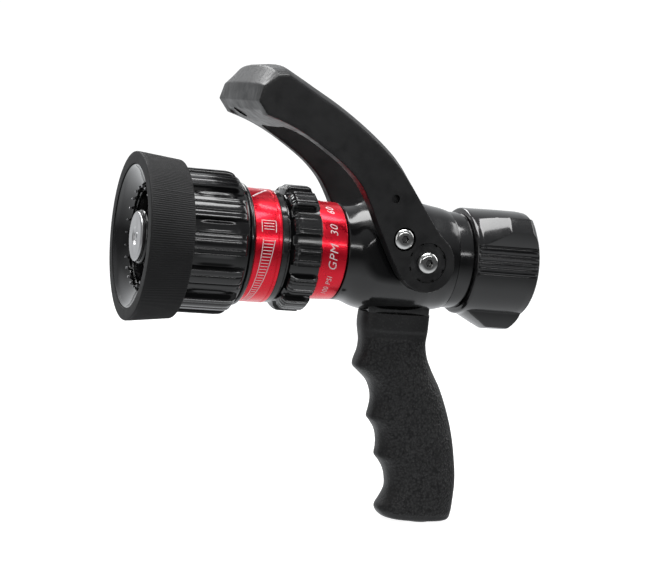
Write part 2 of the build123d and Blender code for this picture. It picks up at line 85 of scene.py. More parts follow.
def texture_coordinates(nodes, links, scale):
    """Object coordinates in metres, stretched by scale along each axis."""
    coords = nodes.new("ShaderNodeTexCoord")
    mapping = nodes.new("ShaderNodeMapping")
    mapping.inputs["Scale"].default_value = scale
    links.new(coords.outputs["Object"], mapping.inputs["Vector"])
    return mapping.outputs["Vector"]


def noise(nodes, links, vector, scale, detail=4.0, roughness=0.55):
    texture = nodes.new("ShaderNodeTexNoise")
    texture.inputs["Scale"].default_value = scale
    texture.inputs["Detail"].default_value = detail
    texture.inputs["Roughness"].default_value = roughness
    links.new(vector, texture.inputs["Vector"])
    return texture.outputs["Fac"]


def remap(nodes, links, value, low, high, to_low, to_high):
    node = nodes.new("ShaderNodeMapRange")
    node.inputs["From Min"].default_value = low
    node.inputs["From Max"].default_value = high
    node.inputs["To Min"].default_value = to_low
    node.inputs["To Max"].default_value = to_high
    links.new(value, node.inputs["Value"])
    return node.outputs["Result"]


def colour_mix(nodes, links, factor, first, second):
    node = nodes.new("ShaderNodeMix")
    node.data_type = "RGBA"
    node.inputs["A"].default_value = (*first, 1)
    if isinstance(second, tuple):
        node.inputs["B"].default_value = (*second, 1)
    else:
        links.new(second, node.inputs["B"])
    links.new(factor, node.inputs["Factor"])
    return node.outputs["Result"]


def combine(nodes, links, operation, first, second):
    node = nodes.new("ShaderNodeMath")
    node.operation = operation
    links.new(first, node.inputs[0])
    links.new(second, node.inputs[1])
    return node.outputs[0]


def bump(nodes, links, height, distance, under=None):
    node = nodes.new("ShaderNodeBump")
    node.inputs["Distance"].default_value = distance * MM
    node.inputs["Strength"].default_value = 1.0
    links.new(height, node.inputs["Height"])
    if under:
        links.new(under, node.inputs["Normal"])
    return node.outputs["Normal"]


def finished_metal(name, dark, light, rough, metallic, wear=None, wear_amount=0.0, coat=0.0,
                   grain=(1, 1, 1), grain_scale=900.0, grain_height=0.004, spec=0.5):
    """Coated or bare metal: cloudy tone, fine turned or cast grain, and rubbed edges."""
    material, nodes, links, shader = new_material(name)
    shader.inputs["Metallic"].default_value = metallic
    shader.inputs["Specular IOR Level"].default_value = spec
    shader.inputs["Coat Weight"].default_value = coat
    shader.inputs["Coat Roughness"].default_value = 0.06
    plain = texture_coordinates(nodes, links, (1, 1, 1))
    cloud = remap(nodes, links, noise(nodes, links, plain, 60), 0.35, 0.65, 0, 1)
    tone = colour_mix(nodes, links, cloud, dark, light)
    if wear_amount:
        point = nodes.new("ShaderNodeNewGeometry").outputs["Pointiness"]
        edge = remap(nodes, links, point, 0.515, 0.57, 0, wear_amount)
        scuff = remap(nodes, links, noise(nodes, links, plain, 420, 6), 0.45, 0.7, 0, 1)
        worn = nodes.new("ShaderNodeMix")
        worn.data_type = "RGBA"
        links.new(combine(nodes, links, "MULTIPLY", edge, scuff), worn.inputs["Factor"])
        links.new(tone, worn.inputs["A"])
        worn.inputs["B"].default_value = (*wear, 1)
        tone = worn.outputs["Result"]
    links.new(tone, shader.inputs["Base Color"])
    smudge = noise(nodes, links, plain, 140, 5)
    links.new(remap(nodes, links, smudge, 0.3, 0.7, rough * 0.8, rough * 1.3), shader.inputs["Roughness"])
    lines = noise(nodes, links, texture_coordinates(nodes, links, grain), grain_scale, 3)
    links.new(bump(nodes, links, lines, grain_height), shader.inputs["Normal"])
    return material


def black_satin(name, spec):
    return finished_metal(name, (0.011, 0.011, 0.0115), (0.017, 0.017, 0.0175), 0.38,
                          0.0, (0.08, 0.08, 0.08), 0.2, grain_scale=1500, grain_height=0.01, spec=spec)


def stainless():
    material = finished_metal("stainless_steel", (0.58, 0.58, 0.57), (0.70, 0.70, 0.69), 0.16, 1.0,
                              grain=(1, 6, 1), grain_height=0.003)
    nodes, links = material.node_tree.nodes, material.node_tree.links
    base = nodes["Principled BSDF"].inputs["Base Color"]
    tone = base.links[0].from_socket
    # Painted shade: the colour falls to near black in recesses where the ambient occlusion is low, such as the
    # screws' hex sockets.
    recess = nodes.new("ShaderNodeAmbientOcclusion")
    recess.inputs["Distance"].default_value = 3 * MM
    recess_shade = remap(nodes, links, recess.outputs["AO"], 0.44, 0.7, 0, 1)
    links.new(colour_mix(nodes, links, recess_shade, (0.02, 0.02, 0.02), tone), base)
    return material


def soft_material(name, dark, light, rough, grain_scale, grain_height, sheen=0.0, spec=0.35):
    """Rubber or plastic with a fine moulded grain and a dusty variation in tone."""
    material, nodes, links, shader = new_material(name)
    shader.inputs["Specular IOR Level"].default_value = spec
    shader.inputs["Sheen Weight"].default_value = sheen
    plain = texture_coordinates(nodes, links, (1, 1, 1))
    cloud = remap(nodes, links, noise(nodes, links, plain, 45, 6), 0.35, 0.68, 0, 1)
    links.new(colour_mix(nodes, links, cloud, dark, light), shader.inputs["Base Color"])
    patch = noise(nodes, links, plain, 90, 4)
    links.new(remap(nodes, links, patch, 0.3, 0.7, rough * 0.88, rough * 1.12), shader.inputs["Roughness"])
    fine = noise(nodes, links, plain, grain_scale, 3)
    links.new(bump(nodes, links, fine, grain_height), shader.inputs["Normal"])
    return material


def grip_plastic():
    """Moulded grip: a leathery cell pattern on the flanks with painted shade in its creases, smoother at the edges
    and collar.
    """
    material, nodes, links, shader = new_material("grip_plastic")
    shader.inputs["Specular IOR Level"].default_value = 0.36
    plain = texture_coordinates(nodes, links, (1, 1, 1))
    cloud = remap(nodes, links, noise(nodes, links, plain, 50, 6), 0.35, 0.68, 0, 1)
    tone = colour_mix(nodes, links, cloud, (0.028, 0.028, 0.0285), (0.038, 0.038, 0.0385))
    patch = noise(nodes, links, plain, 110, 5)
    links.new(remap(nodes, links, patch, 0.3, 0.7, 0.36, 0.5), shader.inputs["Roughness"])
    cells = nodes.new("ShaderNodeTexVoronoi")
    cells.inputs["Scale"].default_value = 800
    cells.feature = "SMOOTH_F1"
    links.new(plain, cells.inputs["Vector"])
    attribute = nodes.new("ShaderNodeAttribute")
    attribute.attribute_name = "textured"
    textured = attribute.outputs["Fac"]
    # Painted shade: the colour goes near black in the creases between the cells on the textured panels, and
    # darkens less there on the smooth parts.
    crease_shade = combine(nodes, links, "MAXIMUM", remap(nodes, links, cells.outputs["Distance"], 0.2, 0.65, 1, 0),
                     remap(nodes, links, textured, 0, 1, 0.6, 0))
    links.new(colour_mix(nodes, links, crease_shade, (0.006, 0.006, 0.0062), tone), shader.inputs["Base Color"])
    height = combine(nodes, links, "MULTIPLY", cells.outputs["Distance"], textured)
    wrinkle = combine(nodes, links, "MULTIPLY", noise(nodes, links, plain, 1100, 4), textured)
    coarse = bump(nodes, links, height, 0.7)
    links.new(bump(nodes, links, wrinkle, 0.35, under=coarse), shader.inputs["Normal"])
    return material


def floor_material():
    material, nodes, links, shader = new_material("pale_floor")
    plain = texture_coordinates(nodes, links, (1, 1, 1))
    cloud = noise(nodes, links, plain, 3)
    links.new(colour_mix(nodes, links, cloud, (0.30, 0.30, 0.30), (0.32, 0.32, 0.32)),
              shader.inputs["Base Color"])
    shader.inputs["Emission Color"].default_value = (1, 1, 1, 1)
    shader.inputs["Emission Strength"].default_value = 0.93
    shader.inputs["Roughness"].default_value = 0.9
    shader.inputs["Specular IOR Level"].default_value = 0.1
    return material


GLOSS = finished_metal("black_hard_anodised", (0.004, 0.004, 0.0045), (0.008, 0.008, 0.0085), 0.15, 0.0,
                       (0.08, 0.08, 0.08), 0.3, coat=0.15, grain=(6, 1, 1), spec=0.55)
SATIN = black_satin("black_satin_coat", 0.34)
RED = finished_metal("red_anodised", (0.72, 0.004, 0.022), (0.84, 0.006, 0.030), 0.27, 0.72,
                     (0.75, 0.2, 0.22), 0.25, coat=0.22, grain=(8, 1, 1), spec=0.4)
STEEL = stainless()
BARE = finished_metal("machined_aluminium", (0.36, 0.36, 0.37), (0.46, 0.46, 0.47), 0.36, 0.85,
                      grain=(10, 1, 1), grain_height=0.006)
BRONZE = finished_metal("tin_bronze", (0.42, 0.27, 0.11), (0.52, 0.35, 0.15), 0.3, 1.0,
                        grain=(1, 8, 1), grain_height=0.005)
OXIDE = finished_metal("black_oxide_steel", (0.015, 0.015, 0.016), (0.03, 0.03, 0.032), 0.35, 0.6,
                       (0.2, 0.2, 0.2), 0.3, grain_height=0.006)
DISC = finished_metal("blackened_steel", (0.48, 0.48, 0.485), (0.58, 0.58, 0.585), 0.32, 1.0,
                      grain_height=0.004)
POLISHED = finished_metal("polished_black", (0.008, 0.008, 0.0085), (0.014, 0.014, 0.0145), 0.12, 0.0,
                          coat=0.9, grain=(1, 3, 3), spec=0.9)
# Shaded copy of the satin coat with little specular reflection: painted shade for the handle's downward faces.
SHADED_UNDERSIDE = black_satin("black_satin_shaded_underside", 0.07)
RUBBER = soft_material("bumper_rubber", (0.018, 0.018, 0.0185), (0.025, 0.025, 0.0255), 0.6, 1800, 0.03,
                       sheen=0.03, spec=0.1)
SEAL = soft_material("seal_rubber", (0.010, 0.010, 0.010), (0.018, 0.018, 0.018), 0.5, 900, 0.02)
PTFE = soft_material("ptfe", (0.74, 0.74, 0.70), (0.82, 0.82, 0.79), 0.4, 700, 0.01, spec=0.45)
PRINT = soft_material("printed_marks", (0.80, 0.66, 0.68), (0.88, 0.76, 0.78), 0.45, 1200, 0.006)
GRIP = grip_plastic()
CAD_MATERIALS = {
    "black_anodised": GLOSS, "red_anodised": RED, "black_powder_coat": SATIN, "grip_plastic": GRIP,
    "bumper_rubber": RUBBER, "seal_rubber": SEAL, "stainless": STEEL, "black_steel": OXIDE,
    "bare_aluminium": BARE, "bronze": BRONZE, "ptfe": PTFE,
}


# ---- mesh helpers -------------------------------------------------------------------
def make_mesh(name, vertices, faces, material, sharp=32.0):
    """Mesh object from millimetre points, smooth shaded with its corners kept sharp."""
    mesh = bpy.data.meshes.new(name)
    mesh.from_pydata([(x * MM, y * MM, z * MM) for x, y, z in vertices], [], faces)
    mesh.validate()
    build = bmesh.new()
    build.from_mesh(mesh)
    bmesh.ops.remove_doubles(build, verts=build.verts, dist=0.002 * MM)
    bmesh.ops.recalc_face_normals(build, faces=build.faces)
    build.to_mesh(mesh)
    build.free()
    mesh.shade_smooth()
    mesh.set_sharp_from_angle(angle=math.radians(sharp))
    mesh.materials.append(material)
    piece = bpy.data.objects.new(name, mesh)
    bpy.context.scene.collection.objects.link(piece)
    return piece


def place(piece, body, slot, *nodes):
    """Hang a piece on its body and hide the CAD nodes it stands for. The slot argument, its finish's name, is not
    used.
    """
    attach(piece, body)
    if nodes:
        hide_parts(*nodes)
    return piece


def ring_points(x, radii, angles):
    """Points around the stream axis. x and radii are numbers or arrays over the angles."""
    x = np.broadcast_to(x, angles.shape)
    radii = np.broadcast_to(radii, angles.shape)
    turn = np.radians(angles)
    return np.stack([x, -radii * np.cos(turn), radii * np.sin(turn)], axis=1)


def band_faces(rows, count, closed=True):
    """Quads between neighbouring rows of count points; closed joins the last row to the first."""
    faces = []
    for i in range(rows if closed else rows - 1):
        a, b = i * count, ((i + 1) % rows) * count
        for j in range(count):
            k = (j + 1) % count
            faces.append((a + j, a + k, b + k, b + j))
    return faces


def prism_faces(rows, count):
    """Both end faces and the side quads of a stack of equal closed outlines."""
    ends = [tuple(range(count)), tuple(reversed(range((rows - 1) * count, rows * count)))]
    return ends + band_faces(rows, count, closed=False)


def ring_piece(name, rows, angles, material, sharp=32.0):
    """Closed ring-shaped solid from rows of (x, radii)."""
    points = np.concatenate([ring_points(x, r, angles) for x, r in rows])
    return make_mesh(name, points.tolist(), band_faces(len(rows), len(angles)), material, sharp)


def rounded(outline, radius=0.35, steps=4):
    """Outline of (x, r) or (x, r, own radius) corners with every corner rounded."""
    points = [Vector(p[:2]) for p in outline]
    own = [p[2] if len(p) > 2 else radius for p in outline]
    result = []
    for i, corner in enumerate(points):
        before, after = points[i - 1] - corner, points[(i + 1) % len(points)] - corner
        if own[i] <= 0 or before.length == 0 or after.length == 0:
            result.append(tuple(corner))
            continue
        reach = min(own[i], 0.45 * before.length, 0.45 * after.length)
        start, end = corner + before.normalized() * reach, corner + after.normalized() * reach
        for s in range(steps + 1):
            t = s / steps
            point = start * (1 - t) ** 2 + corner * 2 * t * (1 - t) + end * t ** 2
            result.append(tuple(point))
    return result


def lathe(name, outline, material, radius=0.35, segments=192, sharp=32.0):
    """Turned part: a closed outline of (x, r) revolved about the stream axis."""
    angles = np.arange(segments) * 360 / segments
    return ring_piece(name, rounded(outline, radius), angles, material, sharp)


def smooth_step(value):
    t = np.clip(value, 0, 1)
    return t * t * (3 - 2 * t)


def smooth_join(a, b, width):
    """Larger of two radii, blended like a cast fillet of about that width."""
    width = max(width, 0.01)
    h = np.clip(0.5 + 0.5 * (a - b) / width, 0, 1)
    return b + (a - b) * h + width * h * (1 - h)


# ---- front end ----------------------------------------------------------------------
RIB_PITCH = 1.3
RIB_HEIGHT = 0.22
SEAM_ANGLE = 38.0


def make_bumper():
    """Rubber bumper with fine ribs along X over its outside, and a mould seam."""
    x0, x1, outer = span("bumper")
    ribs = int(2 * math.pi * outer / RIB_PITCH)
    angles = np.arange(ribs * 6) * 60 / ribs
    wave = np.cos(np.radians(angles * ribs))
    seam = np.exp(-((angles - SEAM_ANGLE) / 0.35) ** 2)
    relief = RIB_HEIGHT * (0.5 + 0.5 * wave) * (1 - seam) + 0.35 * seam
    inner, core = 41.2, 38.1
    profile = rounded([(x0, inner + 0.1), (x0, outer - 0.2, 0.8), (x1, 45.4, 0.9), (x1, core),
                       (x0 + 15.1, core), (x0 + 15.1, inner)], 0.3)
    profile = subdivide(profile, 2.4)
    rows = []
    for x, r in profile:
        ribbed = smooth_step((r - 44.6) / 0.8) * smooth_step((x - x0 - 0.4) / 0.8)
        rows.append((x, r + (relief - RIB_HEIGHT * 0.5) * ribbed))
    piece = ring_piece("ribbed_bumper", rows, angles, RUBBER, 50)
    return place(piece, SLEEVE, "bumper_rubber", "bumper")


def subdivide(outline, step):
    """Outline with points added so that no stretch is longer than step."""
    result = []
    for i, (x, r) in enumerate(outline):
        after = outline[(i + 1) % len(outline)]
        parts = max(1, math.ceil(math.hypot(after[0] - x, after[1] - r) / step))
        result += [(x + (after[0] - x) * s / parts, r + (after[1] - r) * s / parts) for s in range(parts)]
    return result


def make_bell():
    """Polished flare inside the bumper, from the rim down to the teeth's groove."""
    x0, x1, outer = span("shaper_bell")
    outline = [(x1, 33.0), (x1, outer), (x0, outer), (x0, 40.5, 0.8), (x0 + 1.6, 39.0, 1.5),
               (x0 + 4.4, 34.6, 2.0), (x0 + 7.1, 31.4, 0.4), (x0 + 7.8, 31.4), (x0 + 7.8, 33.0)]
    return place(lathe("flared_bell", outline, POLISHED, 0.3, 256), SLEEVE, "black_anodised", "shaper_bell")


def make_teeth():
    """Spinning ring of pointed teeth in the bell's throat."""
    x0, x1, outer = span("fog_teeth")
    ring_x, count = x0 + 4.4, 24
    ring = lathe("tooth_ring_base", [(ring_x, 28.5), (ring_x, outer), (x1, outer), (x1, 28.5)], GLOSS, 0.35)
    vertices = [tuple(v.co / MM) for v in ring.data.vertices]
    faces = [tuple(p.vertices) for p in ring.data.polygons]
    bpy.data.objects.remove(ring)
    for i in range(count):
        turn = math.radians(i * 360 / count)
        base = len(vertices)
        stations = [(ring_x + 1.2, 28.5, 31.2, 0.7), (ring_x - 0.2, 28.5, 31.0, 0.6),
                    (ring_x - 1.6, 28.4, 30.2, 0.5), (x0 + 1.6, 28.2, 29.4, 0.42),
                    (x0 + 0.9, 27.9, 29.3, 0.55), (x0 + 0.3, 27.9, 29.2, 0.55), (x0, 28.2, 28.9, 0.3)]
        for x, low, high, half in stations:
            for r, side in ((low, -half), (low, half), (high, half * 0.7), (high, -half * 0.7)):
                y, z = -r * math.cos(turn) - side * math.sin(turn), r * math.sin(turn) - side * math.cos(turn)
                vertices.append((x, y, z))
        for s in range(len(stations) - 1):
            for k in range(4):
                a, b = base + 4 * s + k, base + 4 * s + (k + 1) % 4
                faces.append((a, b, b + 4, a + 4))
        faces.append(tuple(base + k for k in range(4)))
        faces.append(tuple(base + 4 * (len(stations) - 1) + k for k in range(4)))
    piece = make_mesh("spinning_teeth", vertices, faces, GLOSS)
    # Tips in the bare aluminium finish: partly worn bare metal, partly a painted highlight standing in for the
    # glint on the rounded tips.
    piece.data.materials.append(BARE)
    for face in piece.data.polygons:
        if face.center.x / MM < x0 + 1.8:
            face.material_index = 1
    return place(piece, TEETH, "black_anodised", "fog_teeth")


def make_baffle():
    """Baffle body behind the face disc, and the disc with its socket."""
    x0, x1, outer = span("baffle_body")
    body = [(x1, 5.02, 0.0), (x1, 6.2), (x1 - 8, 7.4, 2.0), (x1 - 13, 10.5, 3.0), (x0 + 2.9, 15.4, 0.8),
            (x0 + 1.2, outer), (x0, outer - 0.7, 0.3), (x0, 5.02, 0.0)]
    place(lathe("baffle_cone", body, GLOSS, 0.5), STEM, "black_anodised", "baffle_body")
    x0, x1, outer = span("baffle_cap")
    disc = [(x1, 0.02, 0.0), (x1, outer - 0.3, 0.2), (x1 - 1.2, outer, 0.6), (x0 + 0.35, outer - 0.35, 0.8),
            (x0, outer - 1.6, 0.4), (x0, 5.4, 0.3), (x0 + 0.5, 4.9, 0.2), (x0 + 1.9, 4.2, 0.3),
            (x0 + 1.9, 2.6, 0.2), (x0 + 0.6, 1.9, 0.5), (x0 + 0.4, 0.02, 0.0)]
    return place(lathe("baffle_disc", disc, DISC, 0.3), STEM, "bare_aluminium", "baffle_cap")


def lug_angles(count, first, half, flank, extra):
    """Sampling angles dense at each lug's flanks, so that its sides stay crisp."""
    inner = [0, half * 0.25, half * 0.45, half * 0.6, half * 0.72, half * 0.84, half * 0.93, half]
    outer = [half + flank * f for f in (0.2, 0.4, 0.6, 0.8, 1.0)]
    rest = np.linspace(half + flank, 180 / count, 7)[1:-1].tolist()
    one_side = sorted(set(inner + outer + rest + list(extra)))
    offsets = [-a for a in reversed(one_side) if a > 0] + one_side + [180 / count]
    angles = [first + i * 360 / count + a for i in range(count) for a in offsets]
    return np.array(angles), np.array(offsets * count)


def lug_profile(offset, half, flank, grooves, groove_half):
    """Height from 0 in the valley to 1 on a lug's top, less the fine grooves on the top."""
    distance = np.abs(offset)
    height = 1 - smooth_step((distance - half) / flank)
    crown = 0.045 * np.clip(distance / half, 0, 1) ** 3
    cut = sum(np.exp(-((distance - g) / groove_half) ** 2) for g in grooves)
    return height - crown * (distance < half) - 0.11 * cut * (distance < half)


def make_sleeve():
    """Pattern sleeve: twelve broad lugs with grooved tops, rounded off at the rear."""
    x0, x1, _ = span("pattern_sleeve")
    outer, valley, core, bore = 41.6, 37.4, 38.0, 31.0
    lug_x0, lug_x1 = x0 + 12.0, x1 - 1.6
    angles, offset = lug_angles(12, 3.0, 8.4, 1.7, (3.2, 3.6, 4.0, 5.6))
    height = lug_profile(offset, 8.4, 1.7, (3.6,), 0.45)
    stations = np.concatenate([np.linspace(lug_x0, lug_x1 - 8, 10), lug_x1 - 8 + 8 * np.sin(
        np.linspace(0.12, 1, 12) * math.pi / 2)])
    rows = [(x0, 27.4), (x0, core), (lug_x0 - 1, core), (lug_x0 - 0.2, valley)]
    for x in stations:
        along = np.clip((x - (lug_x1 - 8)) / 8, 0, 1)
        tail = math.sqrt(max(0.0, 1 - along ** 2.6))
        base = valley - 1.6 * smooth_step((x - (lug_x1 - 7)) / 9)
        scoop = 0.5 * smooth_step((x - lug_x0 - 3) / 4) * smooth_step((lug_x1 - 6 - x) / 4)
        hollow = scoop * smooth_step((np.abs(offset) - 10.2) / 2.5)
        rows.append((x, base - hollow + (outer - base) * height * tail))
    rows += [(x1 - 0.5, 35.7), (x1, 35.2), (x1, bore + 0.3), (x1 - 0.3, bore), (-205.6, bore),
             (-205.6, 33.3), (-215.4, 33.3), (-215.4, 27.4)]
    piece = ring_piece("lugged_sleeve", rows, angles, GLOSS, 38)
    return place(piece, SLEEVE, "black_anodised", "pattern_sleeve")


def make_selector():
    """Selector ring: short lugs with two fine grooves, and a thin skirt under the number band."""
    x0, x1, _ = span("selector_ring")
    outer, valley, core = 36.9, 32.9, 31.6
    skirt_x = span("flow_band")[0]
    angles, offset = lug_angles(12, -3.0, 8.8, 2.0, (2.6, 3.0, 3.4, 6.2, 6.6, 7.0))
    height = lug_profile(offset, 8.8, 2.0, (2.8, 6.4), 0.42)
    length = skirt_x - x0
    rows = [(x0, 25.4), (x0, core - 0.8), (x0 + 0.6, core)]
    for t in (0.0, 0.03, 0.07, 0.12, 0.18, 0.26, 0.4, 0.6, 0.75, 0.86, 0.92, 0.96, 0.985, 1.0):
        x = x0 + 1.2 + (length - 1.6) * t
        front = math.sin(min(1.0, t / 0.2) * math.pi / 2) ** 0.7 if t > 0 else 0.25
        rear = 1.0 - 0.55 * smooth_step((t - 0.9) / 0.1)
        floor = core + (valley - core) * min(front, 1.0)
        rows.append((x, floor + (outer - floor) * height * min(0.35 + 0.65 * front, rear)))
    rows += [(skirt_x - 0.1, core), (skirt_x, core - 1.2), (skirt_x, 27.3), (x1, 27.3), (x1, 25.4)]
    piece = ring_piece("lugged_selector", rows, angles, GLOSS, 38)
    return place(piece, SELECTOR, "black_anodised", "selector_ring")


# ---- bands and their marks ----------------------------------------------------------
MARK_LIFT = 0.06
MARK_SINK = -0.03
FLOW_BAND_REAR_R = 28.75
FLOW_BAND_BEVEL = 0.6


def make_bands():
    x0, x1, outer = span("flow_band")
    outline = [(x0, 27.35), (x0, outer, 0.25), (x1 - FLOW_BAND_BEVEL, FLOW_BAND_REAR_R, 0.3), (x1, 28.2),
               (x1, 27.35)]
    place(lathe("red_flow_band", outline, RED, 0.25, 256), SELECTOR, "red_anodised", "flow_band")
    x0, x1, outer = span("pattern_band")
    groove = x1 - 2.3
    outline = [(x0, 31.05), (x0, outer, 0.4), (groove - 0.35, outer, 0.12), (groove - 0.2, outer - 0.35, 0.1),
               (groove + 0.2, outer - 0.35, 0.1), (groove + 0.35, outer, 0.12), (x1, outer, 0.4), (x1, 31.05)]
    place(lathe("red_pattern_band", outline, RED, 0.25, 256), ROOT, "red_anodised", "pattern_band")


def flat_strip(points, width):
    """Outline of a stroke of the given width along points in the (along X, around) plane."""
    left, right = [], []
    for i, point in enumerate(points):
        before, after = points[max(i - 1, 0)], points[min(i + 1, len(points) - 1)]
        direction = (Vector(after) - Vector(before)).normalized()
        normal = Vector((-direction.y, direction.x)) * width / 2
        left.append(tuple(Vector(point) + normal))
        right.append(tuple(Vector(point) - normal))
    return left, right


def stroke_mesh(strokes, radius_at, width):
    """Thin raised strokes on a round band. Stroke points are (x, arc length from the near side)."""
    vertices, faces = [], []
    for points in strokes:
        fine = resample(points, 0.8)
        left, right = flat_strip(fine, width)
        base = len(vertices)
        for (xl, al), (xr, ar) in zip(left, right):
            for lift in (MARK_LIFT, MARK_SINK):
                vertices += [wrap(xl, al, radius_at, lift), wrap(xr, ar, radius_at, lift)]
        count = len(fine)
        for i in range(count - 1):
            a, b = base + 4 * i, base + 4 * (i + 1)
            faces += [(a, a + 1, b + 1, b), (a + 2, b + 2, b + 3, a + 3), (a, b, b + 2, a + 2),
                      (a + 1, a + 3, b + 3, b + 1)]
        faces += [(base, base + 2, base + 3, base + 1)]
        last = base + 4 * (count - 1)
        faces += [(last, last + 1, last + 3, last + 2)]
    return vertices, faces


def resample(points, step):
    """Polyline with points added so that it bends with the band."""
    result = [points[0]]
    for start, end in zip(points, points[1:]):
        parts = max(1, math.ceil(math.dist(start, end) / step))
        result += [(start[0] + (end[0] - start[0]) * s / parts, start[1] + (end[1] - start[1]) * s / parts)
                   for s in range(1, parts + 1)]
    return result


def wrap(x, arc, radius_at, lift):
    """Point on a round band from its x and its arc length up from the near side."""
    radius = radius_at(x)
    turn = arc / radius
    return x, -(radius + lift) * math.cos(turn), (radius + lift) * math.sin(turn)


def make_pattern_marks():
    """Pattern symbols: a chevron, a short ladder and a long tapering ladder."""
    x0, _, outer = span("pattern_band")
    unit = outer * math.pi / 180
    chevron = [[(x0 + 0.8, 61 * unit), (x0 + 11.5, 78 * unit), (x0 + 0.8, 95 * unit)]]
    box_x0, box_x1, box_low, box_high = x0 + 3.6, x0 + 12.0, 18.0 * unit, 30 * unit
    strokes = [[(box_x0, box_low), (box_x0, box_high), (box_x1, box_high), (box_x1, box_low)]]
    strokes += [[(box_x0 + 1.2, a * unit), (box_x1 - 1.2, a * unit)] for a in (21.0, 24.0, 27.0)]
    top, bottom, rungs = 11.0, -70.0, 25
    edges = ([], [])
    for i in range(13):
        t = i / 12
        angle = top + (bottom - top) * t
        edges[0].append((x0 + 4.4 - 2.4 * t, angle * unit))
        edges[1].append((x0 + 11.4 - 6.6 * t, angle * unit))
    strokes += list(edges)
    for i in range(rungs):
        t = (i + 0.5) / rungs
        angle = top + (bottom - top) * t
        strokes.append([(x0 + 5.0 - 2.4 * t, angle * unit), (x0 + 10.8 - 6.6 * t, angle * unit)])
    for name, lines, width in (("pattern_ladders", strokes, 0.4), ("pattern_chevron", chevron, 1.0)):
        piece = make_mesh(name, *stroke_mesh(lines, lambda x: outer, width), PRINT)
        place(piece, ROOT, "red_anodised")


def make_flow_marks():
    """Flow settings in gallons a minute, read from below, with the tops of the figures to the front."""
    x0, x1, outer = span("flow_band")
    middle = (x0 + x1) / 2
    for text, angle, size in (("95", 86, 6.2), ("60", 57, 6.2), ("30", 28, 6.6), ("GPM", -4, 7.2),
                              ("PSI", -33, 4.5), ("100", -50, 4.5), ("125", 116, 6.2)):
        curve = bpy.data.curves.new("figures", "FONT")
        curve.body = text
        curve.size = size
        curve.shear = 0.28
        curve.offset = -0.012
        curve.extrude = 0.0
        curve.align_x = "CENTER"
        curve.resolution_u = 6
        curve.space_character = 1.12
        holder = bpy.data.objects.new("figures", curve)
        bpy.context.scene.collection.objects.link(holder)
        bpy.context.view_layer.update()
        flat = bpy.data.meshes.new_from_object(holder)
        bpy.data.objects.remove(holder)
        solid = extruded_text(flat, middle + 2.3 * size / 6.8, angle, lambda x: band_radius(x, x0, x1, outer))
        piece = make_mesh("flow_figures_" + text, *solid, PRINT)
        place(piece, SELECTOR, "red_anodised")


def band_radius(x, x0, x1, outer):
    """Radius of the tapering flow band at x."""
    return outer + (FLOW_BAND_REAR_R - outer) * (x - x0) / (x1 - FLOW_BAND_BEVEL - x0)


def extruded_text(flat, baseline_x, angle, radius_at):
    """Flat lettering bent onto the band: its own x runs up around the band, its y to the front."""
    build = bmesh.new()
    build.from_mesh(flat)
    bmesh.ops.remove_doubles(build, verts=build.verts, dist=0.001)
    bmesh.ops.triangulate(build, faces=build.faces)
    bmesh.ops.subdivide_edges(build, edges=[e for e in build.edges if e.calc_length() > 1.2], cuts=1)
    bmesh.ops.triangulate(build, faces=build.faces)
    top = [tuple(v.co) for v in build.verts]
    build.verts.index_update()
    triangles = [tuple(v.index for v in f.verts) for f in build.faces]
    rim = [(e.verts[0].index, e.verts[1].index) for e in build.edges if e.is_boundary]
    build.free()
    vertices = []
    for lift in (MARK_LIFT, MARK_SINK):
        for x, y, _ in top:
            px = baseline_x - y
            vertices.append(wrap(px, x + math.radians(angle) * radius_at(px), radius_at, lift))
    count = len(top)
    faces = list(triangles) + [tuple(i + count for i in reversed(t)) for t in triangles]
    faces += [(a, b, b + count, a + count) for a, b in rim]
    return vertices, faces


# ---- body, barrel and collar --------------------------------------------------------
def smooth_cut(a, b, width):
    """Smaller of two radii, blended over about that width."""
    return -smooth_join(-a, -b, width)


def make_valve_body():
    """Cast valve body: a waisted barrel, side flats and a round boss at the pivot."""
    x0, x1, _ = span("valve_body")
    flat_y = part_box("valve_body")[1].y / MM
    station = [x0, -117, -114, -111.5, -109, -106.4, -103, -98, -90, -75, -68, -62, -57, -53.5, x1]
    radius = [28.6, 28.6, 29.0, 29.9, 31.0, 31.9, 32.7, 33.1, 33.3, 33.2, 32.6, 31.6, 30.9, 30.2, 29.4]
    stations = np.linspace(x0 + 0.6, x1 - 0.5, 170)
    widths = np.interp(stations, station, radius)
    kernel = np.hanning(13)
    padded = np.concatenate([np.full(6, widths[0]), widths, np.full(6, widths[-1])])
    widths = np.convolve(padded, kernel / kernel.sum(), "valid")
    angles = np.arange(720) * 0.5
    turn = np.radians(angles)
    cos, sin = np.abs(np.cos(turn)) + 1e-4, np.abs(np.sin(turn)) + 1e-4
    boss_r = 17.0
    side = np.minimum(flat_y / cos, 200)
    rows = [(x0, 24.1), (x0, 27.9), (x0 + 0.25, 28.3)]
    for x, base in zip(stations, widths):
        outline = smooth_cut(np.full_like(side, base), side, 1.2)
        reach = boss_r - abs(x - PIVOT_X)
        if reach > 0:
            half = math.sqrt(boss_r ** 2 - (x - PIVOT_X) ** 2)
            boss = smooth_cut(np.minimum(half / sin, 200), side, 1.2)
            outline = smooth_join(outline, boss, 1.5 * smooth_step(reach / 2))
        rows.append((x, np.minimum(outline, flat_y / cos)))
    rows += [(x1 - 0.2, 29.3), (x1, 28.9), (x1, 27.0), (-96.0, 27.0), (-96.0, 24.1)]
    piece = ring_piece("cast_valve_body", rows, angles, GLOSS, 60)
    place(piece, ROOT, "black_anodised", "valve_body")
    make_grip_pad()


PAD_TOP_Z = -28.6       # inside the body's wall, clear of the ball


